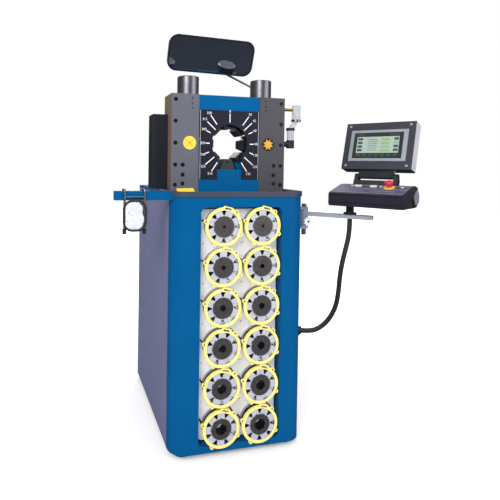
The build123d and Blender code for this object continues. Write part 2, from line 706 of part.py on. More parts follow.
# ---------------------------------------------------------------- accessory bar
with BuildPart() as accessory_bar:
    add(box((BAR_X[0], BAR_X[1] + 40), (BAR_Y, BAR_Y + BAR), (BAR_TOP - BAR, BAR_TOP)))
    with BuildSketch(Plane.XY.offset(BAR_TOP - BAR - 1)):
        RectangleRounded(CAB_W, CAB_D, CORNER_R)
    extrude(amount=BAR + 2, mode=Mode.SUBTRACT)
    with BuildSketch(Plane.XY.offset(CAB_TOP)):
        with Locations((0, TRAY_Y[0] + CAB_D / 2)):
            RectangleRounded(TRAY_X[1] - TRAY_X[0], CAB_D, CORNER_R + TRAY_OVER)
    extrude(amount=BAR, mode=Mode.SUBTRACT)
    chamfer(accessory_bar.faces().sort_by(Axis.X)[0].edges(), 1.5)
save(accessory_bar, "accessory_bar")

WIRE_Y = BAR_Y - WIRE - 0.5
WIRE_Z = BAR_TOP + WIRE + 0.5
with BuildPart() as wire_hanger:
    for x in HOOKS:
        with BuildLine() as hook_path:
            FilletPolyline(
                (x, WIRE_Y, HOOK_FOOT + 18),
                (x, WIRE_Y, WIRE_Z),
                (x, BAR_Y + BAR + WIRE + 0.5, WIRE_Z),
                (x, BAR_Y + BAR + WIRE + 0.5, BAR_TOP - 20),
                radius=WIRE + 1,
            )
        with BuildSketch(Plane.XY.offset(HOOK_FOOT + 18)):
            with Locations((x, WIRE_Y)):
                Circle(WIRE)
        sweep(path=hook_path.line)
    add(rod((HOOKS[0], WIRE_Y, BAR_TOP - 20), (HOOKS[1], WIRE_Y, BAR_TOP - 20), 0.8 * WIRE))

with BuildPart() as hanger_tips:
    for x in HOOKS:
        add(rod((x, WIRE_Y, HOOK_FOOT), (x, WIRE_Y, HOOK_FOOT + 18), 6.5))
save(Compound(children=[wire_hanger.part, hanger_tips.part]), "wire_hanger")

LOOP_Y = WIRE_Y - WIRE - 8.2
LOOP_AT = (sum(HOOKS) / 2, 854.0)
with BuildPart() as tie_loop:
    with BuildSketch(front_plane(LOOP_Y)):
        with Locations(LOOP_AT):
            RectangleRounded(82, 108, 34)
            RectangleRounded(66, 92, 26, mode=Mode.SUBTRACT)
    extrude(amount=-8)
    fillet(tie_loop.edges().group_by(Axis.Y)[0], 3)
    fillet(tie_loop.edges().group_by(Axis.Y)[-1], 3)
save(tie_loop, "tie_loop")

with BuildPart() as spare_bag:
    with BuildSketch(front_plane(LOOP_Y - 1)):
        with Locations(LOOP_AT):
            RectangleRounded(64.8, 90.8, 25.4)
    extrude(amount=-10)
    fillet(spare_bag.edges().group_by(Axis.Y)[0], 4)
    fillet(spare_bag.edges().group_by(Axis.Y)[-1], 4)
save(spare_bag, "spare_bag")

# ---------------------------------------------------------------- arm
with BuildPart() as arm_bracket:
    add(box((SIDE, SIDE + 6), (PIVOT[1] - 24, PIVOT[1] + 24), (772.0, 886.0)))
    for z in (BOSS_Z[0] - SEAT - LUG[1], BOSS_Z[1] + SEAT):
        with BuildSketch(Plane.XY.offset(z)):
            with Locations(((SIDE + 6 + PIVOT[0]) / 2, PIVOT[1])):
                Rectangle(PIVOT[0] - SIDE - 6, 2 * LUG[0])
            with Locations(PIVOT):
                Circle(LUG[0])
                Circle(PIVOT_R, mode=Mode.SUBTRACT)
        extrude(amount=LUG[1])
save(Compound(children=[arm_bracket.part, rod((*PIVOT, 766.0), (*PIVOT, 884.0), PIVOT_R)]), "arm_bracket")

SWIVEL = swung(PIVOT, ARM_ANGLE, SWIVEL_AT)
with BuildPart() as panel_arm:
    with BuildSketch(Plane.XY.offset(BOSS_Z[0])):
        with Locations(PIVOT):
            Circle(LUG[0])
    extrude(amount=BOSS_Z[1] - BOSS_Z[0])
    with BuildSketch(Plane(origin=(*PIVOT, ARM_Z), x_dir=(*swung((0, 0), ARM_ANGLE, 1), 0), z_dir=(0, 0, 1))):
        with Locations((ARM_LEN / 2, 0)):
            Rectangle(ARM_LEN, 2 * LUG[0])
        with Locations((ARM_LEN / 2 + 12, 0)):
            RectangleRounded(ARM_LEN - 24, ARM_W, 8)
    extrude(amount=ARM_T)
    with BuildSketch(Plane.XY.offset(BOSS_Z[0])):
        with Locations(PIVOT):
            Circle(PIVOT_R + RUN_FIT)
    extrude(amount=BOSS_Z[1] - BOSS_Z[0], mode=Mode.SUBTRACT)
    with BuildSketch(Plane.XY.offset(ARM_Z + ARM_T)):
        with Locations(SWIVEL):
            Circle(SWIVEL_R + RUN_FIT)
    extrude(amount=-10, mode=Mode.SUBTRACT)
    add(rod((PIVOT[0], PIVOT[1] - LUG[0] + 1, KNOB_Z), (PIVOT[0], PIVOT[1] - LUG[0] - 8, KNOB_Z), 8.0))
    add(rod((PIVOT[0], PIVOT[1] - LUG[0] - 8, KNOB_Z), (PIVOT[0], PIVOT[1] - LUG[0] + 3, KNOB_Z), 4.2), mode=Mode.SUBTRACT)
save(panel_arm, "panel_arm")

KNOB_Y = PIVOT[1] - LUG[0] - 8 - SEAT
with BuildPart() as arm_clamp_knob:
    add(rod((PIVOT[0], KNOB_Y - 12, KNOB_Z), (PIVOT[0], KNOB_Y, KNOB_Z), KNOB_R - 4))
    chamfer(arm_clamp_knob.edges(), 1.5)
    add(rod((PIVOT[0], KNOB_Y - 13, KNOB_Z), (PIVOT[0], KNOB_Y + 9, KNOB_Z), 4.0))
    with BuildSketch(front_plane(KNOB_Y - 13)):
        with Locations((PIVOT[0], KNOB_Z)):
            with PolarLocations(KNOB_R - 3.5, 8):
                Circle(3.5)
    extrude(amount=-14, mode=Mode.SUBTRACT)
save(arm_clamp_knob, "arm_clamp_knob")

# ---------------------------------------------------------------- control panel
foot = Vector(*PANEL_FOOT)
ALONG = Vector(*swung((0, 0), PANEL_ANGLE, 1), 0)
REAR = Vector(*swung((0, 0), PANEL_ANGLE, 0, 1), 0)
UP = Vector(0, 0, 1)


def console_point(x, rear, up):
    """A point from the panel's lower front corner: along its front, towards its back and up."""
    return foot + ALONG * x + REAR * rear + UP * up


def section_plane(x):
    """Drawing plane across the panel: local x towards its back, local y up, extruding along its front."""
    return Plane(origin=console_point(x, 0, 0), x_dir=REAR, z_dir=ALONG)


PANEL_TOP_Z = ARM_Z + ARM_T + SEAT
with BuildPart() as panel_swivel:
    with BuildSketch(Plane.XY.offset(PANEL_TOP_Z)):
        with Locations(SWIVEL):
            Circle(23)
    extrude(amount=8)
    with BuildSketch(Plane.XY.offset(PANEL_TOP_Z + 8)):
        with Locations(SWIVEL):
            Circle(14)
    extrude(amount=PANEL_FOOT[2] - PANEL_TOP_Z - 8)
    with BuildSketch(Plane.XY.offset(PANEL_TOP_Z - 9)):
        with Locations(SWIVEL):
            Circle(SWIVEL_R)
    extrude(amount=9)

KEY_START, KEY_END = PANEL_SECTION[6], PANEL_SECTION[5]
KEY_SLOPE = atan2(KEY_END[1] - KEY_START[1], KEY_END[0] - KEY_START[0])
KEY_OUT = UP * cos(KEY_SLOPE) - REAR * sin(KEY_SLOPE)


def key_plane(x, up_slope):
    """Plane on the sloping keypad, at a place along the panel and a distance up the slope."""
    rear = KEY_START[0] + up_slope * cos(KEY_SLOPE)
    up = KEY_START[1] + up_slope * sin(KEY_SLOPE)
    return Plane(origin=console_point(x, rear, up), x_dir=ALONG, z_dir=KEY_OUT)


KEYS = {"stop": (186.0, 70.0), "start": (74.0, 76.0), "open": (129.0, 76.0)}
with BuildPart() as console_housing:
    with BuildSketch(section_plane(0)):
        Polygon(*PANEL_SECTION, align=None)
    extrude(amount=PANEL_W)
    with BuildSketch(section_plane(0)):
        with Locations((0, 12), (0, 40)):
            Rectangle(5, 4, mode=Mode.ADD)
    extrude(amount=PANEL_W, mode=Mode.SUBTRACT)
    with BuildSketch(key_plane(*KEYS["stop"])):
        Circle(5.2)
    extrude(amount=-24, mode=Mode.SUBTRACT)
    for key in ("start", "open"):
        with BuildSketch(key_plane(*KEYS[key])):
            SlotOverall(26.6, 13.6)
        extrude(amount=-8, mode=Mode.SUBTRACT)
save(console_housing, "console_housing")

with BuildPart() as console_cheeks:
    for x in (-5.0, PANEL_W):
        with BuildSketch(section_plane(x)):
            Polygon(*[(4, 3), (128, 3), (137, 12), (137, 64), (130, 73), (98, 73), (10, 48), (4, 42)], align=None)
        extrude(amount=5)
    fillet(console_cheeks.edges().filter_by(lambda e: abs(e.length - 5) < 0.01), 3)
    with BuildSketch(section_plane(PANEL_W + 5)):
        with Locations((108, 36)):
            Circle(26)
    extrude(amount=6)
save(console_cheeks, "console_cheeks")

with BuildPart() as keypad_trim:
    for x, up_slope in ((52, 76), (156, 76), (228, 76)):
        with BuildSketch(key_plane(x, up_slope)):
            Circle(5)
        extrude(amount=1.2)
    with BuildSketch(key_plane(*KEYS["stop"])):
        Circle(19)
        Circle(6.4, mode=Mode.SUBTRACT)
    extrude(amount=2)
save(keypad_trim, "keypad_trim")

with BuildPart() as stop_button:
    with BuildSketch(key_plane(*KEYS["stop"])):
        Circle(5)
    extrude(amount=16)
    with BuildSketch(key_plane(*KEYS["stop"])):
        Circle(5)
    extrude(amount=-15)
    with BuildSketch(key_plane(*KEYS["stop"]).offset(12)):
        Circle(STOP_R - 3)
    extrude(amount=12, taper=-12)
    fillet(stop_button.faces().sort_by(Axis(foot, KEY_OUT))[-1].edges(), 4)
save(stop_button, "stop_button")

for key in ("start", "open"):
    with BuildPart() as button:
        with BuildSketch(key_plane(*KEYS[key]).offset(-5)):
            SlotOverall(26, 13)
        extrude(amount=9)
        fillet(button.faces().sort_by(Axis(foot, KEY_OUT))[-1].edges(), 1.2)
    save(button, f"{key}_button")

with BuildPart() as screen_neck:
    with BuildSketch(section_plane(HINGE_X[0])):
        Polygon((99, 76), (132, 76), (136, 92), (104, 92), align=None)
    extrude(amount=HINGE_X[1] - HINGE_X[0])
    for x in (HINGE_X[0], HINGE_X[1] - LUG_W):
        with BuildSketch(section_plane(x)):
            Polygon((106, 91), (134, 91), (HINGE[0] + HINGE_R, HINGE[1]), (HINGE[0] - HINGE_R, HINGE[1]), align=None)
            with Locations(HINGE):
                Circle(HINGE_R)
        extrude(amount=LUG_W)
    with BuildSketch(section_plane(HINGE_X[0] + LUG_W)):
        with Locations(HINGE):
            Circle(HINGE_PIN_R)
    extrude(amount=HINGE_X[1] - HINGE_X[0] - 2 * LUG_W)
save(Compound(children=[panel_swivel.part, screen_neck.part]), "panel_mounts")

lean = radians(SCREEN_TILT)
SCREEN_UP = REAR * sin(lean) + UP * cos(lean)
SCREEN_OUT = UP * sin(lean) - REAR * cos(lean)
screen_plane = Plane(origin=console_point(*SCREEN_AT), x_dir=ALONG, z_dir=SCREEN_OUT)
MIDDLE = (SCREEN_W / 2, SCREEN_H / 2)
with BuildPart() as screen_housing:
    with BuildSketch(screen_plane):
        with Locations(MIDDLE):
            RectangleRounded(SCREEN_W, SCREEN_H, 3)
    extrude(amount=-SCREEN_D)
    with BuildSketch(section_plane(HINGE_X[0] + LUG_W + SEAT)):
        with Locations(HINGE):
            Circle(HINGE_R)
        Polygon(
            (HINGE[0] - HINGE_R, HINGE[1]),
            (HINGE[0] + HINGE_R, HINGE[1]),
            (HINGE[0] + HINGE_R, HINGE[1] + 18),
            (HINGE[0] - HINGE_R, HINGE[1] + 24),
            align=None,
        )
        with Locations(HINGE):
            Circle(HINGE_PIN_R + RUN_FIT, mode=Mode.SUBTRACT)
    extrude(amount=HINGE_X[1] - HINGE_X[0] - 2 * LUG_W - 2 * SEAT)
save(screen_housing, "screen_housing")

with BuildPart() as screen_frame:
    with BuildSketch(screen_plane):
        with Locations(MIDDLE):
            RectangleRounded(*HMI, 2)
    extrude(amount=4)
    chamfer(screen_frame.faces().sort_by(Axis(foot, SCREEN_OUT))[-1].edges(), 1.5)

with BuildPart() as touch_screen:
    with BuildSketch(screen_plane.offset(4)):
        with Locations(MIDDLE):
            RectangleRounded(*GLASS, 1.5)
    extrude(amount=0.8)
save(touch_screen, "touch_screen")

with BuildPart() as screen_screws:
    with BuildSketch(screen_plane):
        with Locations(MIDDLE):
            with GridLocations(SCREEN_W - 34, SCREEN_H - 26, 2, 2):
                Circle(4.5)
    extrude(amount=2.5)
save(Compound(children=[screen_frame.part, screen_screws.part]), "screen_frame")

# ---------------------------------------------------------------- conduit
turns = []
runs = [Vector(*q) - Vector(*p) for p, q in zip(ROUTE, ROUTE[1:])]
for before, after in zip(runs, runs[1:]):
    shorter = min(before.length, after.length)
    turns.append(0.45 * shorter / tan(radians(before.get_angle(after)) / 2))
with BuildPart() as conduit:
    with BuildLine() as conduit_path:
        FilletPolyline(*ROUTE, radius=turns)
    with BuildSketch(Plane(origin=ROUTE[0], z_dir=runs[0])):
        Circle(CONDUIT_R)
    sweep(path=conduit_path.line)
save(conduit, "conduit")

with BuildPart() as conduit_gland:
    out = runs[-1].normalized() * -1
    start = Vector(*ROUTE[-1])
    add(rod(tuple(start + out * 2), tuple(start - out * 16), 15.0))
    add(rod((SIDE - 1, start.Y, start.Z), (SIDE + 5, start.Y, start.Z), 19.0))
    with BuildSketch(Plane(origin=start, z_dir=out)):
        Circle(CONDUIT_R)
    extrude(amount=30, mode=Mode.SUBTRACT)
    add(box((0, SIDE), (start.Y - 60, start.Y + 60), (start.Z - 60, start.Z + 60)), mode=Mode.SUBTRACT)

with BuildPart() as mains_gland:
    with BuildSketch(front_plane(BACK)):
        with Locations((-150, 150)):
            RegularPolygon(17, 6)
    extrude(amount=-20)
    with BuildSketch(front_plane(BACK - SHEET - 6)):
        with Locations((-150, 150)):
            Circle(12)
    extrude(amount=-SHEET - 6)
    with BuildSketch(front_plane(BACK - SHEET - 6)):
        with Locations((-150, 150)):
            Circle(6.5)
    extrude(amount=-40, mode=Mode.SUBTRACT)
save(Compound(children=[conduit_gland.part, mains_gland.part]), "cable_glands")

print("parts written:", len(os.listdir("parts")))
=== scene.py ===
"""Looks of the hose crimping machine. Metres; X to the operator's right, Y to the back, Z up, floor at 0."""

import math

import bpy
from mathutils import Matrix, Vector, noise


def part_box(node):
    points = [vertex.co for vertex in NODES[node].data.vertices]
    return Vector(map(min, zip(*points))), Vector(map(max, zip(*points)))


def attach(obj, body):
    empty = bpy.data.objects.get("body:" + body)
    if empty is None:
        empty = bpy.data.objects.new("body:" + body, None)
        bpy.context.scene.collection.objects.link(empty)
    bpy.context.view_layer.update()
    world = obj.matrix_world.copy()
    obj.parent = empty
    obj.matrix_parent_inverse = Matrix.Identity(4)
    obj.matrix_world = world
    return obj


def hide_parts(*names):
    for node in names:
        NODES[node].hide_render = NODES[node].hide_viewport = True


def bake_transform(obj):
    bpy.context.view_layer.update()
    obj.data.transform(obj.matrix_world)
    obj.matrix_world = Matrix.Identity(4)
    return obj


bpy.ops.wm.read_factory_settings(use_empty=True)
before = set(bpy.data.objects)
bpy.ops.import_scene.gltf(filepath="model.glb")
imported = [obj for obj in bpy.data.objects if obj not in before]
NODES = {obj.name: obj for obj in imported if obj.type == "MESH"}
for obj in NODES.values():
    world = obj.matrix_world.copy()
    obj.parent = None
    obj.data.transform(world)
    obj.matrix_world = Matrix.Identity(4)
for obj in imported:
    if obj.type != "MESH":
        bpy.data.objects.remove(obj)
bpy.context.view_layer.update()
MM = 0.001

# ---------------------------------------------------------------- sizes shared with the frame, in millimetres
AXIS_Z = 1110.0
HEAD_FACE = -210.0
SET_X, SET_Z0, SET_PITCH, SETS_Y = 72.5, 106.0, 141.7, -368.3
RING_INNER, JAW_R = 57.0, 37.0
BADGE_X, BADGE_R = 158.0, 26.0
PANEL_FOOT = Vector((320.0, -388.0, 888.0))
PANEL_ANGLE = math.radians(-57.7)
ALONG = Vector((math.cos(PANEL_ANGLE), math.sin(PANEL_ANGLE), 0))
REAR = Vector((-ALONG.y, ALONG.x, 0))
UP = Vector((0, 0, 1))
LEAN = math.radians(16.3)
SCREEN_UP = REAR * math.sin(LEAN) + UP * math.cos(LEAN)
SCREEN_OUT = UP * math.sin(LEAN) - REAR * math.cos(LEAN)
SCREEN_FOOT = PANEL_FOOT + ALONG * -3 + REAR * 100 + UP * 133
SCREEN_MIDDLE = SCREEN_FOOT + ALONG * 126 + SCREEN_UP * 89


def linear(red, green, blue):
    """A screen colour, 0 to 255, as the linear colour that materials take."""
    shares = (((c / 255 + 0.055) / 1.055) ** 2.4 if c > 10 else c / 3294.6 for c in (red, green, blue))
    return (*shares, 1.0)


# ---------------------------------------------------------------- materials
MIX_LOW, MIX_HIGH, MIX_COLOUR = 6, 7, 2      # the Mix node's colour sockets: two inputs and the output


class Link:
    """A node's output socket; arithmetic on it adds Math nodes."""

    def __init__(self, finish, socket):
        self.finish, self.socket = finish, socket

    def _math(self, operation, *values):
        return self.finish.node("ShaderNodeMath", {"operation": operation}, dict(enumerate(values)))

    def __add__(self, other):
        return self._math("ADD", self, other)

    def __radd__(self, other):
        return self._math("ADD", other, self)

    def __sub__(self, other):
        return self._math("SUBTRACT", self, other)

    def __rsub__(self, other):
        return self._math("SUBTRACT", other, self)

    def __mul__(self, other):
        return self._math("MULTIPLY", self, other)

    def __rmul__(self, other):
        return self._math("MULTIPLY", other, self)

    def __gt__(self, other):
        return self._math("GREATER_THAN", self, other)

    def __lt__(self, other):
        return self._math("LESS_THAN", self, other)

    def __abs__(self):
        return self._math("ABSOLUTE", self)

    def power(self, exponent):
        return self._math("POWER", self, exponent)

    def wrapped(self, low, high):
        return self._math("WRAP", self, high, low)


class Finish:
    """A material and its node tree."""

    def __init__(self, name):
        self.material = bpy.data.materials.new(name)
        self.material.use_nodes = True
        self.tree = self.material.node_tree
        self.tree.nodes.clear()

    def node(self, kind, settings=None, inputs=None, output=0):
        """Adds a node with its settings, fills its sockets and gives the wanted output."""
        made = self.tree.nodes.new(kind)
        for key, value in (settings or {}).items():
            setattr(made, key, value)
        for key, value in (inputs or {}).items():
            if isinstance(value, Link):
                self.tree.links.new(value.socket, made.inputs[key])
            else:
                made.inputs[key].default_value = value
        return Link(self, made.outputs[output]) if made.outputs else None

    def place(self):
        """Object coordinates in metres."""
        return self.node("ShaderNodeTexCoord", output="Object")

    def axes(self, place=None):
        """The three coordinates of a place."""
        split = self.tree.nodes.new("ShaderNodeSeparateXYZ")
        self.tree.links.new((place or self.place()).socket, split.inputs[0])
        return [Link(self, s) for s in split.outputs]

    def grain(self, scale, detail=3.0, roughness=0.5, stretch=None):
        """Noise between 0 and 1 at so many cells a metre, stretched if asked."""
        place = self.place()
        if stretch:
            place = self.node("ShaderNodeMapping", None, {"Vector": place, "Scale": stretch})
        return self.node("ShaderNodeTexNoise", None,
                         {"Vector": place, "Scale": scale, "Detail": detail, "Roughness": roughness})

    def blend(self, share, low, high):
        """A colour between two others."""
        return self.node("ShaderNodeMix", {"data_type": "RGBA"},
                         {"Factor": share, MIX_LOW: low, MIX_HIGH: high}, output=MIX_COLOUR)

    def bump(self, height, distance):
        """Fine relief, whose full height is a distance in metres."""
        return self.node("ShaderNodeBump", None, {"Height": height, "Distance": distance, "Strength": 1.0})

    def done(self, colour, roughness, metallic=0.0, normal=None, **more):
        """Ends the material in a Principled shader."""
        inputs = {"Base Color": colour, "Roughness": roughness, "Metallic": metallic, **more}
        if normal:
            inputs["Normal"] = normal
        surface = self.node("ShaderNodeBsdfPrincipled", None, inputs)
        self.node("ShaderNodeOutputMaterial", None, {"Surface": surface})
        return self.material


def shade(colour, factor):
    """The same colour, darker or lighter."""
    return tuple(min(1.0, c * factor) for c in colour[:3]) + (1.0,)


def paint(name, colour, roughness=0.38, orange_peel=0.00006, dirt=0.25, scale=900.0, shine=0.5, glow=0.0):
    """Sprayed enamel: faint orange peel, soft unevenness and a little handling dirt; glow, where given, is a
    painted glow in the paint's own colour.
    """
    f = Finish(name)
    cloud = f.grain(5.0, 4.0, 0.6)
    smudge = f.grain(38.0, 5.0, 0.65)
    tone = f.blend(cloud, shade(colour, 0.90), shade(colour, 1.08))
    spots = (smudge - 0.56) * 4.0 * dirt
    mask = f.node("ShaderNodeClamp", None, {"Value": spots})
    tone = f.blend(mask, tone, shade(colour, 0.62))
    peel = f.bump(f.grain(scale, 1.0), orange_peel)
    more = {"Specular IOR Level": shine}
    # glow gives the paint light of its own: a painted glow, for surfaces that are no lamp.
    if glow:
        more.update({"Emission Color": tone, "Emission Strength": glow})
    return f.done(tone, smudge * 0.16 + (roughness - 0.08), normal=peel, **more)


def metal(name, colour, roughness=0.32, stretch=(1.0, 1.0, 40.0), scale=60.0, depth=0.00005):
    """Machined metal with tool marks along one direction."""
    f = Finish(name)
    marks = f.grain(scale, 5.0, 0.7, stretch)
    cloud = f.grain(12.0, 3.0)
    tone = f.blend(cloud, shade(colour, 0.82), shade(colour, 1.12))
    return f.done(tone, marks * 0.22 + (roughness - 0.1), 1.0, f.bump(marks, depth))


def plastic(name, colour, roughness=0.5, grain=1600.0, depth=0.00005, metallic=0.0):
    """Moulded or anodised surface with a fine grain."""
    f = Finish(name)
    fine = f.grain(grain, 2.0, 0.6)
    cloud = f.grain(14.0, 4.0, 0.6)
    tone = f.blend(cloud, shade(colour, 0.84), shade(colour, 1.2))
    return f.done(tone, cloud * 0.18 + (roughness - 0.09), metallic, f.bump(fine, depth))


BLUE = linear(0, 83, 136)
enamel_blue = paint("enamel_blue", BLUE, 0.34, dirt=0.12, shine=0.06)
head_blue = paint("head_blue", linear(0, 87, 142), 0.42, dirt=0.3, shine=0.06)
powder_grey = paint("powder_grey", linear(112, 115, 150), 0.55, 0.00012, 0.2, 1400.0)
# The white rack panel gets a painted glow: light of its own that brightens it, though it is no lamp.
rack_white = paint("rack_white", linear(246, 248, 255), 0.45, dirt=0.04, glow=0.16)
tray_grey = paint("tray_grey", linear(104, 105, 122), 0.5, 0.0001, 0.5)
tray_edge = paint("tray_edge", linear(56, 64, 82), 0.45, 0.0001, 0.4)
charcoal = paint("charcoal", linear(36, 40, 50), 0.5, 0.0001, 0.3)
guard_black = paint("guard_black", linear(24, 28, 38), 0.5, 0.0001, 0.3, shine=0.3)
frame_grey = paint("frame_grey", linear(92, 95, 106), 0.46, 0.00008, 0.5)
# This darker copy of the frame grey is painted shade for the right side frame, which has the same paint as
# the left.
frame_painted_shade = paint("frame_painted_shade", linear(68, 67, 74), 0.46, 0.00008, 0.5)
frame_warm = paint("frame_warm", linear(116, 96, 84), 0.5, 0.00008, 0.5)
dial_black = paint("dial_black", linear(31, 32, 46), 0.46, 0.00004, 0.3, shine=0.2)
cylinder_grey = metal("cylinder_grey", linear(128, 126, 134), 0.34, (1, 1, 60), 30.0)
bright_steel = metal("bright_steel", linear(150, 150, 156), 0.35)
rod_chrome = metal("rod_chrome", linear(215, 215, 220), 0.16, depth=0.00001)
screw_black = metal("screw_black", linear(60, 58, 64), 0.42)
bezel_alu = plastic("bezel_alu", linear(150, 158, 170), 0.4, metallic=0.5)
master_steel = metal("master_steel", linear(92, 88, 90), 0.42, (1.0, 30.0, 1.0), 90.0)
console_black = plastic("console_black", linear(32, 32, 44), 0.36)
keypad_purple = plastic("keypad_purple", linear(88, 84, 112), 0.4)
cap_grey = plastic("cap_grey", linear(120, 120, 132), 0.4)
cheek_black = plastic("cheek_black", linear(26, 26, 32), 0.5)
housing_black = plastic("housing_black", linear(38, 40, 50), 0.42)
housing_grey = plastic("housing_grey", linear(186, 186, 194), 0.45)
button_white = plastic("button_white", linear(232, 232, 236), 0.3, depth=0.00001)
mark_white = plastic("mark_white", linear(238, 239, 246), 0.5, depth=0.00001)
stop_red = plastic("stop_red", linear(222, 44, 84), 0.34, depth=0.00002)
yellow_plate = plastic("yellow_plate", linear(250, 204, 70), 0.45)
star_orange = plastic("star_orange", linear(240, 164, 46), 0.4)
rubber_black = plastic("rubber_black", linear(34, 34, 38), 0.6, 500.0, 0.0002)
ring_grey = plastic("ring_grey", linear(158, 158, 170), 0.45)
slot_black = plastic("slot_black", linear(26, 26, 30), 0.6)
arm_alu = plastic("arm_alu", linear(176, 181, 192), 0.36, metallic=0.4)
# The arm bracket is silver aluminium; the blue tint in its colour is a painted sheen.
bracket_alu = plastic("bracket_alu", linear(142, 164, 200), 0.4, metallic=0.3)
brass = metal("brass", linear(176, 136, 62), 0.35)
mirror_rim = plastic("mirror_rim", linear(24, 28, 40), 0.4)


def silvered():
    """Mirror glass with faint wipe marks."""
    f = Finish("mirror_silver")
    wipe = f.grain(7.0, 5.0, 0.7, (1.0, 1.0, 6.0))
    tone = f.blend(wipe, linear(214, 220, 228), linear(236, 239, 243))
    return f.done(tone, wipe * 0.05, 1.0)


def die_set_finish():
    """Stored die sets: yellow ring, ground steel pads and dark jaws, by distance from each set's own axis;
    the pads' sides and the jaws' inner walls get painted shade.
    """
    f = Finish("die_set_finish")
    x, y, z = f.axes()
    u = abs(x) * 1000.0 - SET_X
    v = (z * 1000.0).wrapped(SET_Z0 - SET_PITCH / 2, SET_Z0 + SET_PITCH / 2) - SET_Z0
    radius = (u * u + v * v).power(0.5)
    on_ring = radius > RING_INNER
    on_pad = radius > JAW_R + 0.3
    front = (y * 1000.0) < (SETS_Y + 12.0)
    cloud = f.grain(160.0, 4.0, 0.6)
    fine = f.grain(900.0, 3.0, 0.6)
    pad_front = f.blend(cloud, linear(160, 163, 176), linear(222, 224, 233))
    # Painted shade: the pads' sides, behind their front faces, are nearly black so the slots between the pads
    # look dark.
    pad = f.blend((y * 1000.0) < (SETS_Y + 4.0), linear(44, 44, 50), pad_front)
    jaw_front = f.blend(cloud, linear(78, 72, 74), linear(156, 150, 152))
    # Painted shade: the jaws' walls behind their front faces are nearly black, for the dark bore.
    jaw = f.blend((y * 1000.0) < (SETS_Y + 1.5), linear(14, 14, 16), jaw_front)
    steel = f.blend(on_pad, jaw, pad)
    soot = f.blend(fine, linear(236, 212, 98), linear(255, 246, 158))
    tone = f.blend(on_ring * front, steel, soot)
    ring_share = on_ring * front
    return f.done(
        tone,
        ring_share * 0.14 + (cloud * 0.2 + 0.26),
        0.8 - on_pad * 0.65 - ring_share * 0.15,
        f.bump(fine, 0.00012),
    )


def screen_glass():
    """Dark touch glass over a faintly lit display."""
    f = Finish("screen_glass")
    tone = f.grain(20.0, 3.0)
    colour = f.blend(tone, linear(26, 28, 26), linear(44, 48, 44))
    return f.done(colour, tone * 0.05 + 0.08)


def display_tone(name, colour):
    """A lit area of the display."""
    f = Finish(name)
    tone = f.blend(f.grain(300.0, 2.0), shade(colour, 0.92), shade(colour, 1.06))
    return f.done(tone, 0.25, **{"Emission Color": tone, "Emission Strength": 0.18})


def clear_bowl():
    """Clear polycarbonate, a cool grey and partly see-through."""
    f = Finish("clear_bowl")
    cloud = f.grain(60.0, 3.0)
    tone = f.blend(cloud, linear(150, 156, 166), linear(214, 218, 224))
    return f.done(tone, 0.12, **{"Alpha": cloud * 0.2 + 0.45})


def bag_film():
    """Milky, crinkled plastic film."""
    f = Finish("bag_film")
    crease = f.grain(70.0, 6.0, 0.7)
    tone = f.blend(crease, linear(176, 180, 192), linear(242, 242, 246))
    return f.done(tone, crease * 0.2 + 0.22, normal=f.bump(crease, 0.0025))


FINISHES = {
    "cabinet_frame": charcoal,
    "cabinet_cladding": powder_grey,
    "front_shell": enamel_blue,
    "recess_box": enamel_blue,
    "rack_panel": rack_white,
    "rack_pegs": screw_black,
    "tray": tray_grey,
    "top_cover": enamel_blue,
    "side_frames": frame_grey,
    "head_screws": screw_black,
    "lower_yoke": head_blue,
    "upper_yoke": head_blue,
    "hydraulic_cylinders": cylinder_grey,
    "dial_plate": dial_black,
    "rear_guard": guard_black,
    "mirror_stand": bright_steel,
    "accessory_bar": enamel_blue,
    "wire_hanger": bright_steel,
    "tie_loop": rubber_black,
    "arm_bracket": bracket_alu,
    "cable_glands": cheek_black,
    "piston_rods": rod_chrome,
    "panel_arm": arm_alu,
    "arm_clamp_knob": button_white,
    "console_housing": console_black,
    "console_cheeks": cheek_black,
    "keypad_trim": button_white,
    "panel_mounts": cheek_black,
    "stop_button": stop_red,
    "start_button": button_white,
    "open_button": button_white,
    "screen_housing": housing_black,
    "screen_frame": bezel_alu,
    "touch_screen": screen_glass(),
    "mirror_housing": mirror_rim,
    "mirror_glass": silvered(),
    "lubricator": clear_bowl(),
    "spare_bag": bag_film(),
    "conduit": rubber_black,
}
set_finish = die_set_finish()
for name, obj in NODES.items():
    obj.data.materials.clear()
    if name.startswith("die_set_"):
        obj.data.materials.append(set_finish)
    elif name.startswith("master_die_"):
        obj.data.materials.append(master_steel)
    else:
        obj.data.materials.append(FINISHES[name])


def repaint(node, material, chosen):
    """Gives the faces of a CAD node that pass a test another finish.

    The test gets a face's middle, in millimetres, and its normal.
    """
    mesh = NODES[node].data
    mesh.materials.append(material)
    index = len(mesh.materials) - 1
    for face in mesh.polygons:
        if chosen(face.center / MM, face.normal):
            face.material_index = index


repaint("lubricator", brass, lambda c, n: c.x < 273 and c.z > 1230)
repaint("lubricator", cheek_black, lambda c, n: c.z < 1131.5 or 1169 < c.z < 1181)
repaint("lubricator", bright_steel, lambda c, n: 1205 < c.z < 1214.5 and c.x > 271)
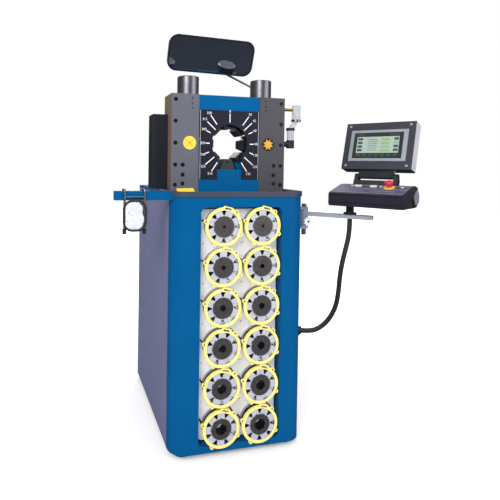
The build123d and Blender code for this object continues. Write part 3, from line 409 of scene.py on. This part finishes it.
# Painted shade: the right side frame's faces take the darker copy of the frame grey.
repaint("side_frames", frame_painted_shade, lambda c, n: c.x > 0)
repaint("side_frames", frame_warm, lambda c, n: c.x < -226 and n.x < -0.9)
repaint("tray", tray_edge, lambda c, n: n.y < -0.3 and c.y < -300 and c.z > 917.5)
repaint("head_screws", yellow_plate, lambda c, n: abs(c.x + BADGE_X) < BADGE_R and c.y < HEAD_FACE - 0.2)
repaint("head_screws", cheek_black, lambda c, n: abs(c.x - BADGE_X) < BADGE_R and c.y < HEAD_FACE - 0.2)
repaint("wire_hanger", cheek_black, lambda c, n: c.z < 811)
repaint("mirror_stand", cheek_black, lambda c, n: c.z > 1436 or c.z < 940)
repaint("arm_bracket", bright_steel, lambda c, n: (c.xy - Vector((286, -268))).length < 9.5)
repaint("screen_housing", housing_grey, lambda c, n: n.dot(ALONG) > 0.95 and c.z > 1006)
repaint("console_housing", keypad_purple, lambda c, n: n.z > 0.9 and n.dot(REAR) < -0.2)
repaint("console_cheeks", cap_grey, lambda c, n: (c - PANEL_FOOT).dot(ALONG) > 266 and n.dot(ALONG) > 0.9)
repaint("arm_clamp_knob", cheek_black, lambda c, n: c.y < -304.5)
repaint("keypad_trim", yellow_plate, lambda c, n: 160 < (c - PANEL_FOOT).dot(ALONG) < 210)


# ---------------------------------------------------------------- helpers for the added pieces
def mesh_object(name, corners, faces, material, body):
    """A mesh given in millimetres that rides on a body."""
    mesh = bpy.data.meshes.new(name)
    mesh.from_pydata([tuple(Vector(c) * MM) for c in corners], [], faces)
    mesh.validate()
    mesh.materials.append(material)
    obj = bpy.data.objects.new(name, mesh)
    bpy.context.scene.collection.objects.link(obj)
    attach(obj, body)
    return obj


def slabs(name, outlines, origin, right, up, thickness, material, body):
    """Thin raised shapes on a flat face; each outline is a list of points along right and up."""
    out = right.cross(up).normalized()
    corners, faces = [], []
    for outline in outlines:
        area = sum(a[0] * b[1] - b[0] * a[1] for a, b in zip(outline, outline[1:] + outline[:1]))
        ordered = outline if area > 0 else outline[::-1]
        start, count = len(corners), len(ordered)
        for lift in (0.0, thickness):
            corners += [origin + right * u + up * v + out * lift for u, v in ordered]
        faces.append([start + i for i in range(count)][::-1])
        faces.append([start + count + i for i in range(count)])
        for i in range(count):
            j = (i + 1) % count
            faces.append([start + i, start + j, start + count + j, start + count + i])
    return mesh_object(name, corners, faces, material, body)


def bar(middle, size, angle=0.0):
    """A rectangle's corners about a middle, turned by an angle in degrees."""
    a = math.radians(angle)
    w, h = size[0] / 2, size[1] / 2
    return [
        (middle[0] + u * math.cos(a) - v * math.sin(a), middle[1] + u * math.sin(a) + v * math.cos(a))
        for u, v in ((-w, -h), (w, -h), (w, h), (-w, h))
    ]


def disc(middle, radius, count=40):
    """A round outline."""
    return [
        (middle[0] + radius * math.cos(t), middle[1] + radius * math.sin(t))
        for t in (2 * math.pi * i / count for i in range(count))
    ]


def words(name, items, origin, right, up, size, material, body):
    """Flat figures on a face: each item is a text with its middle along right and up."""
    out = right.cross(up).normalized()
    turn = Matrix((right, up, out)).transposed()
    corners, faces = [], []
    for text, u, v in items:
        curve = bpy.data.curves.new("figure", "FONT")
        curve.body, curve.size = text, size
        curve.align_x, curve.align_y = "CENTER", "CENTER"
        curve.resolution_u = 3
        holder = bpy.data.objects.new("figure", curve)
        flat = bpy.data.meshes.new_from_object(holder)
        start = len(corners)
        corners += [origin + turn @ Vector((p.co.x + u, p.co.y + v, 0.0)) for p in flat.vertices]
        faces += [[start + i for i in p.vertices] for p in flat.polygons]
        bpy.data.objects.remove(holder)
        bpy.data.curves.remove(curve)
        bpy.data.meshes.remove(flat)
    return mesh_object(name, corners, faces, material, body)


RIGHT = Vector((1, 0, 0))
FACE = Vector((0, HEAD_FACE, AXIS_Z))

# ---------------------------------------------------------------- dial: lines and figures around the opening
LINE_WIDTH, LINE_THICKNESS = 3.6, 0.6
FIGURE_HEIGHT, FIGURE_LIFT = 13.0, 0.25
EDGE_X = 116.8
DIAL = {        # direction, clockwise: start and end of the line, place of the figure, figure
    0: (80, 114, 122, "0"), 36: (88, 130, 140, "30"), 48: (77, 121, 134, "45"),
    63: (86, 104, 115, "60"), 90: (82, 98, 108, "90"), 112: (88, 104, 114, "120"),
    130: (79, 124, 136, "135"), 146: (86, 127, 138, "150"), 214: (86, 127, 138, "210"),
    230: (79, 124, 136, "225"), 248: (88, 104, 114, "240"), 270: (80, 95, 107, "270"),
    297: (86, 104, 115, "300"), 312: (77, 121, 134, "315"), 324: (88, 130, 140, "330"),
}


def clockwise(angle, radius):
    """A point of the dial, by its angle in degrees from the top."""
    a = math.radians(90 - angle)
    return (radius * math.cos(a), radius * math.sin(a))


def dial_lines():
    """The scale's lines, made by a node tree that sets a bar on each of a set of points."""
    points = bpy.data.meshes.new("dial_points")
    places = [clockwise(angle, (low + high) / 2) for angle, (low, high, _, _) in DIAL.items()]
    points.from_pydata([((FACE + RIGHT * u + UP * v) * MM) for u, v in places], [], [])
    turn = points.attributes.new("turn", "FLOAT", "POINT")
    reach = points.attributes.new("reach", "FLOAT", "POINT")
    for i, (angle, (low, high, _, _)) in enumerate(DIAL.items()):
        turn.data[i].value = math.radians(angle)
        reach.data[i].value = (high - low) * MM
    obj = bpy.data.objects.new("dial_lines", points)
    bpy.context.scene.collection.objects.link(obj)
    tree = bpy.data.node_groups.new("dial_line_tree", "GeometryNodeTree")
    tree.interface.new_socket("Geometry", in_out="INPUT", socket_type="NodeSocketGeometry")
    width = tree.interface.new_socket("Line width", in_out="INPUT", socket_type="NodeSocketFloat")
    tree.interface.new_socket("Geometry", in_out="OUTPUT", socket_type="NodeSocketGeometry")
    add, link = tree.nodes.new, tree.links.new
    start, end = add("NodeGroupInput"), add("NodeGroupOutput")
    line = add("GeometryNodeMeshCube")
    line.inputs["Size"].default_value = (1.0, LINE_THICKNESS * MM, 1.0)
    set_on = add("GeometryNodeInstanceOnPoints")
    angle, length = add("GeometryNodeInputNamedAttribute"), add("GeometryNodeInputNamedAttribute")
    angle.data_type = length.data_type = "FLOAT"
    angle.inputs["Name"].default_value, length.inputs["Name"].default_value = "turn", "reach"
    about_y, stretch = add("ShaderNodeCombineXYZ"), add("ShaderNodeCombineXYZ")
    stretch.inputs["Y"].default_value = 1.0
    real, coat = add("GeometryNodeRealizeInstances"), add("GeometryNodeSetMaterial")
    coat.inputs["Material"].default_value = mark_white
    link(start.outputs[0], set_on.inputs["Points"])
    link(line.outputs["Mesh"], set_on.inputs["Instance"])
    link(angle.outputs["Attribute"], about_y.inputs["Y"])
    link(about_y.outputs[0], set_on.inputs["Rotation"])
    link(start.outputs[1], stretch.inputs["X"])
    link(length.outputs["Attribute"], stretch.inputs["Z"])
    link(stretch.outputs[0], set_on.inputs["Scale"])
    link(set_on.outputs["Instances"], real.inputs[0])
    link(real.outputs[0], coat.inputs["Geometry"])
    link(coat.outputs[0], end.inputs[0])
    modifier = obj.modifiers.new("lines", "NODES")
    modifier.node_group = tree
    modifier[width.identifier] = LINE_WIDTH * MM
    bpy.context.view_layer.update()
    solid = bpy.data.meshes.new_from_object(obj.evaluated_get(bpy.context.evaluated_depsgraph_get()))
    solid.name = "dial_lines"
    obj.modifiers.clear()
    obj.data = solid
    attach(obj, "cabinet")


dial_lines()
words(
    "dial_figures",
    [(figure, *clockwise(angle, reach)) for angle, (_, _, reach, figure) in DIAL.items()],
    FACE + Vector((0, -FIGURE_LIFT, 0)), RIGHT, UP, FIGURE_HEIGHT, mark_white, "cabinet",
)

# Painted highlights: pale strips for the light lines seen in the gaps at the dial plate's left and right
# edges.
slabs(
    "dial_edge_highlights",
    [bar((u, -6), (1.6, 258)) for u in (-EDGE_X, EDGE_X)],
    FACE, RIGHT, UP, 0.3, housing_grey, "cabinet",
)


# ---------------------------------------------------------------- rear rings of the stored die sets
REAR_FRONT, REAR_BACK = SETS_Y + 38.5, SETS_Y + 47.5
REAR_RADII = (38.0, 57.0, 60.0)      # bore, end of the dark part, outside


def rear_ring(number, centre):
    """A ring behind the pads: grey outside, dark where it shows between them."""
    count = 48
    corners, faces, coats = [], [], []
    for y in (REAR_FRONT, REAR_BACK):
        for radius in REAR_RADII:
            corners += [(x, y, z) for x, z in disc(centre, radius, count)]
    for i in range(count):
        j = (i + 1) % count
        rows = [(k * count + i, k * count + j) for k in range(6)]
        for (a, b), (c, d), coat in (
            (rows[0], rows[1], 1), (rows[1], rows[2], 0), (rows[2], rows[5], 0),
            (rows[5], rows[4], 0), (rows[4], rows[3], 1), (rows[3], rows[0], 1),
        ):
            faces.append((a, c, d, b))
            coats.append(coat)
    obj = mesh_object(f"rear_ring_{number:02d}", corners, faces, ring_grey, f"die_set_{number:02d}")
    obj.data.materials.append(slot_black)
    for face, coat in zip(obj.data.polygons, coats):
        face.material_index = coat


for number in range(12):
    rear_ring(number + 1, ((-SET_X, SET_X)[number % 2], SET_Z0 + number // 2 * SET_PITCH))

# ---------------------------------------------------------------- round badges on the side frames
BADGE_Y = HEAD_FACE - 1.5
left_badge = Vector((-BADGE_X, BADGE_Y, AXIS_Z))
right_badge = Vector((BADGE_X, BADGE_Y, AXIS_Z))
slabs(
    "cross_badge",
    [bar((0, 0), (36, 3.0), 45), bar((0, 0), (36, 3.0), -45)],
    left_badge, RIGHT, UP, 0.4, star_orange, "cabinet",
)
STAR_POINTS, STAR_TIP, STAR_NOTCH = 8, 22, 12
star = []
for i in range(2 * STAR_POINTS):
    turn, arm = math.pi * i / STAR_POINTS, STAR_TIP if i % 2 else STAR_NOTCH
    star.append((arm * math.cos(turn), arm * math.sin(turn)))
slabs("star_badge", [star], right_badge, RIGHT, UP, 0.4, star_orange, "cabinet")

# ---------------------------------------------------------------- lubricator's foot on the side frame
slabs(
    "lube_foot",
    [disc((0, 0), 11)],
    Vector((227.5, -180, 1115)), Vector((0, 1, 0)), UP, 28.0, cheek_black, "cabinet",
)

# ---------------------------------------------------------------- pale lines along the keypad
slope = math.atan2(26, 92)
KEY_UP = REAR * math.cos(slope) + UP * math.sin(slope)
key_foot = PANEL_FOOT + REAR * 6 + UP * 50
KEYPAD_LINES = (        # middle along and up the keypad, and length
    (128, 5, 250), (128, 50, 250), (60, 28, 100), (176, 28, 90), (128, 91, 250),
)
slabs(
    "keypad_lines",
    [bar((x, y), (length, 1.4)) for x, y, length in KEYPAD_LINES],
    key_foot, ALONG, KEY_UP, 0.25, housing_grey, "control_panel",
)

# ---------------------------------------------------------------- display
GLASS_LIFT = 4.8
glass = SCREEN_MIDDLE + SCREEN_OUT * GLASS_LIFT
tiles_dark = display_tone("display_dark", linear(52, 62, 58))
tiles_pale = display_tone("display_pale", linear(150, 168, 160))
tiles_lime = display_tone("display_lime", linear(128, 158, 104))
slabs("display_field", [bar((0, 2), (152, 62))], glass, ALONG, SCREEN_UP, 0.15, tiles_pale, "screen")
slabs(
    "display_tiles",
    [bar((-64, y), (18, 9)) for y in (24, 10, -4, -18)]
    + [bar((x, -37), (15, 9)) for x in (-66, -44, -22, 0, 22, 44, 66)]
    + [bar((66, y), (16, 9)) for y in (24, -4, -18)]
    + [bar((x, 41), (w, 5)) for x, w in ((-62, 26), (58, 34))]
    + [bar((-18, y), (34, 1.6)) for y in (22, 14, 6, -2, -10, -18)],
    glass + SCREEN_OUT * 0.1, ALONG, SCREEN_UP, 0.15, tiles_dark, "screen",
)
slabs(
    "display_values",
    [bar((28, y), (30, 8)) for y in (22, 8, -6, -20)] + [bar((66, 10), (15, 9))],
    glass + SCREEN_OUT * 0.12, ALONG, SCREEN_UP, 0.2, tiles_lime, "screen",
)

# ---------------------------------------------------------------- yellow plate leaning in the tray
slabs("tray_plate", [bar((0, 0), (66, 34), 2)], Vector((-175, -230, 930)), RIGHT, Vector((0, 0.8, 0.6)), 1.0,
      yellow_plate, "cabinet")


# ---------------------------------------------------------------- spare bag: a crumpled pouch of clear film
def pouch():
    """Two crumpled sheets that meet at their edges, in the place of the plain solid."""
    low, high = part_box("spare_bag")
    middle, half = (low + high) / 2, (high - low) / 2
    columns, rows = 46, 60
    corners, faces = [], []
    for side in (-1, 1):
        for j in range(rows + 1):
            for i in range(columns + 1):
                u, v = 2 * i / columns - 1, 2 * j / rows - 1
                squeeze = 1 - 0.22 * max(0.0, v) ** 2 - 0.10 * (1 - v * v) * (1 + math.sin(5 * v))
                edge = max(0.0, 1 - u ** 4) ** 0.5 * max(0.0, 1 - v ** 6) ** 0.5
                x = middle.x + half.x * u * squeeze * (1 - 0.28 * abs(v) ** 5)
                z = middle.z + half.z * v * (1 - 0.16 * abs(u) ** 4)
                lump = noise.fractal(Vector((x * 38, side * 3.1, z * 38)), 0.8, 2.2, 4)
                crease = abs(noise.noise(Vector((x * 90 + z * 40, side * 7.7, z * 60))))
                y = middle.y + side * edge * (half.y * 0.75 + 0.0035 * lump - 0.003 * crease)
                corners.append(Vector((x, y, z)) / MM)
    count = (columns + 1) * (rows + 1)
    for side in (0, 1):
        for j in range(rows):
            for i in range(columns):
                a = side * count + j * (columns + 1) + i
                face = [a, a + 1, a + columns + 2, a + columns + 1]
                faces.append(face if side == 0 else face[::-1])
    obj = mesh_object("spare_bag_film", corners, faces, FINISHES["spare_bag"], "cabinet")
    weld = obj.modifiers.new("weld", "WELD")
    weld.merge_threshold = 0.0002
    for face in obj.data.polygons:
        face.use_smooth = True
    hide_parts("spare_bag")


pouch()

# ---------------------------------------------------------------- conduit from the arm to the cabinet
ROUTE = [
    (0.401, -0.397, 0.8390), (0.401, -0.397, 0.7860), (0.389, -0.394, 0.7300), (0.378, -0.388, 0.6740),
    (0.376, -0.378, 0.6160), (0.382, -0.363, 0.5600), (0.383, -0.346, 0.5030), (0.370, -0.326, 0.4520),
    (0.344, -0.307, 0.4140), (0.308, -0.296, 0.3980), (0.264, -0.292, 0.4040),
]
CONDUIT_LENGTH, CONDUIT_RADIUS = 0.545, 0.009
curve = bpy.data.curves.new("conduit_line", "CURVE")
curve.dimensions = "3D"
spline = curve.splines.new("NURBS")
spline.points.add(len(ROUTE) - 1)
for point, place in zip(spline.points, ROUTE):
    point.co = (*place, 1.0)
spline.order_u = 3
spline.use_endpoint_u = True
curve.resolution_u = 12
line_holder = bpy.data.objects.new("conduit_line", curve)
centre_mesh = bpy.data.meshes.new_from_object(line_holder)
curve.bevel_depth = CONDUIT_RADIUS
curve.bevel_resolution = 6
curve.use_fill_caps = True
tube = bpy.data.meshes.new_from_object(line_holder)
tube.materials.clear()
tube.materials.append(rubber_black)
bpy.data.objects.remove(line_holder)
bpy.data.meshes.remove(centre_mesh)
conduit = bpy.data.objects.new("conduit_hose", tube)
bpy.context.scene.collection.objects.link(conduit)
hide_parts("conduit")
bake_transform(conduit)

# ---------------------------------------------------------------- floor, light and camera
floor = Finish("studio_floor")
seen = floor.node("ShaderNodeLightPath", output="Is Camera Ray")
glossy = floor.node("ShaderNodeLightPath", output="Is Glossy Ray")
east, north, _ = floor.axes()
# Painted shadow: for the camera the floor shines less near the machine, about a quarter as bright within 0.55
# m and full from 1.9 m out.
reach = floor.node("ShaderNodeMapRange", {"interpolation_type": "SMOOTHSTEP"},
                   {"Value": (east * east + north * north).power(0.5), "From Min": 0.55, "From Max": 1.9,
                    "To Min": 0.24, "To Max": 1.0})
bright = floor.node("ShaderNodeEmission", None, {"Color": (1, 1, 1, 1), "Strength": seen * reach + 0.01})
# In glossy reflections the floor is nearly black; other rays see it pale.
tone = floor.blend(glossy, (0.86, 0.86, 0.87, 1), (0.02, 0.024, 0.034, 1))
matt = floor.node("ShaderNodeBsdfDiffuse", None, {"Color": tone})
both = floor.node("ShaderNodeAddShader", None, {0: bright, 1: matt})
floor.node("ShaderNodeOutputMaterial", None, {"Surface": both})
ground = bpy.data.meshes.new("studio_floor")
FLOOR_SIZE, FLOOR_DROP = 18.0, 0.0005
edge = bar((0, 0), (FLOOR_SIZE, FLOOR_SIZE))
ground.from_pydata([(x, y, -FLOOR_DROP) for x, y in edge], [], [(0, 1, 2, 3)])
ground.materials.append(floor.material)
ground_obj = bpy.data.objects.new("studio_floor", ground)
bpy.context.scene.collection.objects.link(ground_obj)

world = bpy.data.worlds.new("studio")
bpy.context.scene.world = world
world.use_nodes = True
world.node_tree.nodes.clear()
sky = Finish.__new__(Finish)
sky.tree = world.node_tree
direct = sky.node("ShaderNodeLightPath", output="Is Camera Ray")
mirrored = sky.node("ShaderNodeLightPath", output="Is Glossy Ray")
ray = sky.node("ShaderNodeNewGeometry", output="Incoming")
height = sky.axes(ray)[2] * -1.0
glow = sky.node("ShaderNodeMapRange", {"interpolation_type": "SMOOTHSTEP"},
                {"Value": height, "From Min": 0.05, "From Max": 0.75, "To Min": 0.10, "To Max": 0.75})
ROOM_LIGHT = 0.62
strength = direct + (1.0 - direct) * (mirrored * glow + (1.0 - mirrored) * ROOM_LIGHT)
background = sky.node("ShaderNodeBackground", None, {"Color": (1, 1, 1, 1), "Strength": strength})
sky.node("ShaderNodeOutputWorld", None, {"Surface": background})


def lamp(name, place, target, size, watts):
    """A square lamp that faces its target."""
    data = bpy.data.lights.new(name, "AREA")
    data.size, data.energy = size, watts
    obj = bpy.data.objects.new(name, data)
    obj.location = place
    obj.rotation_euler = (Vector(target) - Vector(place)).to_track_quat("-Z", "Y").to_euler()
    bpy.context.scene.collection.objects.link(obj)


lamp("key_light", (-2.2, -3.2, 3.0), (0, 0, 0.9), 2.2, 135.0)
lamp("fill_light", (2.6, -2.6, 1.8), (0, 0, 0.8), 2.4, 45.0)
lamp("rim_light", (0.5, 3.0, 3.0), (0, 0, 1.0), 2.0, 45.0)

CAMERA_PLACE = Vector((-0.6292003, -1.9426057, 1.0264108))
YAW, PITCH, ROLL = 0.2584, 0.0204, 0.0131
SENSOR, FOCAL_SHARE = 36.0, 0.9645972
SHIFT = (0.1286314, -0.15002)
ahead = Vector((math.sin(YAW) * math.cos(PITCH), math.cos(YAW) * math.cos(PITCH), -math.sin(PITCH)))
level = Vector((math.cos(YAW), -math.sin(YAW), 0))
above = level.cross(ahead)
across = level * math.cos(ROLL) + above * math.sin(ROLL)
upright = above * math.cos(ROLL) - level * math.sin(ROLL)
camera_data = bpy.data.cameras.new("camera")
camera_data.sensor_width = SENSOR
camera_data.lens = SENSOR * FOCAL_SHARE
camera_data.shift_x, camera_data.shift_y = SHIFT
camera_data.clip_start, camera_data.clip_end = 0.05, 60
camera = bpy.data.objects.new("camera", camera_data)
facing = Matrix((across, upright, -ahead)).transposed().to_4x4()
camera.matrix_world = Matrix.Translation(CAMERA_PLACE) @ facing
bpy.context.scene.collection.objects.link(camera)
bpy.context.scene.camera = camera
bpy.context.scene.view_settings.view_transform = "Standard"
